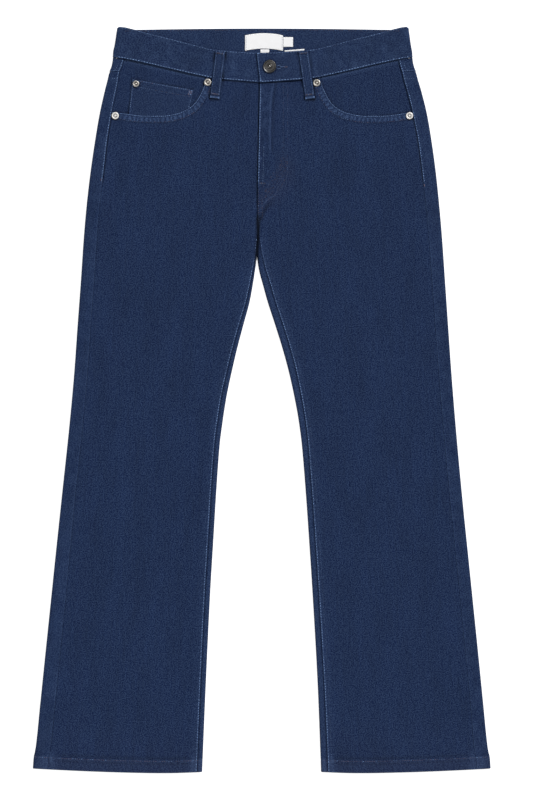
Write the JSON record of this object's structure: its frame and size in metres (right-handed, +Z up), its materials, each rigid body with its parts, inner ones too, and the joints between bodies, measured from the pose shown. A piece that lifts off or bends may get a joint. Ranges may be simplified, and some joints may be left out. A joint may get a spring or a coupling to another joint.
{
  "type": "slim jeans",
  "caption": "Slim denim jeans with a slight boot cut, laid flat with the front up and the waist buttoned.",
  "frame": {"origin": "on the surface that the jeans lie on, under the middle of their bounding box", "axes": "+X towards the wearer's left, +Y towards the waist, +Z up from the surface, out of the front of the jeans"},
  "size_m": [0.6297, 1.0262, 0.0113],
  "materials": {
    "denim": "dark indigo denim twill",
    "denim_trim": "dark indigo denim twill, slightly worn",
    "label": "white woven tape",
    "button_metal": "dark antique nickel",
    "rivet_metal": "nickel"
  },
  "bodies": {
    "root": {"front_panel_right": "denim", "front_panel_left": "denim", "back_panel_right": "denim", "back_panel_left": "denim", "yoke_right": "denim", "yoke_left": "denim", "pocket_facing_right": "denim", "pocket_facing_left": "denim", "fly_shield": "denim", "waistband": "denim_trim", "coin_pocket": "denim_trim", "back_pocket_right": "denim_trim", "back_pocket_left": "denim_trim", "belt_loop_front_right": "denim_trim", "belt_loop_front_left": "denim_trim", "belt_loop_back_right": "denim_trim", "belt_loop_back_centre": "denim_trim", "belt_loop_back_left": "denim_trim", "main_label": "label", "size_tab": "label", "lower_tab": "label", "care_label": "label", "button": "button_metal", "rivet_right_inner": "rivet_metal", "rivet_right_outer": "rivet_metal", "rivet_coin_pocket": "rivet_metal", "rivet_left_inner": "rivet_metal", "rivet_left_outer": "rivet_metal"}
  },
  "joints": []
}
